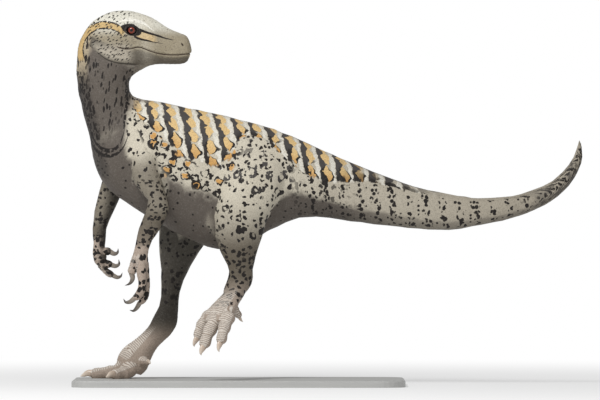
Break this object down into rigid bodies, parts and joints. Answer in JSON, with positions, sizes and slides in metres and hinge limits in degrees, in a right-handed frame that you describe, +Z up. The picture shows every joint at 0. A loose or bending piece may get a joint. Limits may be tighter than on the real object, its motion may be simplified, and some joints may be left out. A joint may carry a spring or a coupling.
{
  "type": "herrerasaurid dinosaur",
  "caption": "Life-size still model of a live herrerasaurid in mid stride on its right foot, head turned back over its left flank, tail lifted, on a flat display base",
  "frame": {"origin": "on the floor under the middle of the whole model's bounding box", "axes": "+Z up; the animal faces -X and its tail points along +X; its left side is towards -Y"},
  "size_m": [3.056, 0.96, 2.2499],
  "materials": {
    "skin": "matt, fine scales, black stripes and rosettes with tan blotches on a cream ground",
    "eye": "wet gloss, red-brown iris",
    "claw": "satin horn",
    "stand": "painted pale grey, satin"
  },
  "bodies": {
    "root": {"head": "skin", "neck": "skin", "torso": "skin", "tail_base": "skin", "tail_middle": "skin", "tail_tip": "skin", "left_upper_arm": "skin", "left_forearm": "skin", "left_hand": "skin", "left_thigh": "skin", "left_shin": "skin", "left_foot": "skin", "right_upper_arm": "skin", "right_forearm": "skin", "right_hand": "skin", "right_thigh": "skin", "right_shin": "skin", "right_foot": "skin", "left_eye": "eye", "right_eye": "eye", "left_hand_claw_1": "claw", "left_hand_claw_2": "claw", "left_hand_claw_3": "claw", "right_hand_claw_1": "claw", "right_hand_claw_2": "claw", "right_hand_claw_3": "claw", "left_foot_claw_1": "claw", "left_foot_claw_2": "claw", "left_foot_claw_3": "claw", "left_foot_claw_4": "claw", "right_foot_claw_1": "claw", "right_foot_claw_2": "claw", "right_foot_claw_3": "claw", "right_foot_claw_4": "claw", "stand_base": "stand"}
  },
  "joints": []
}
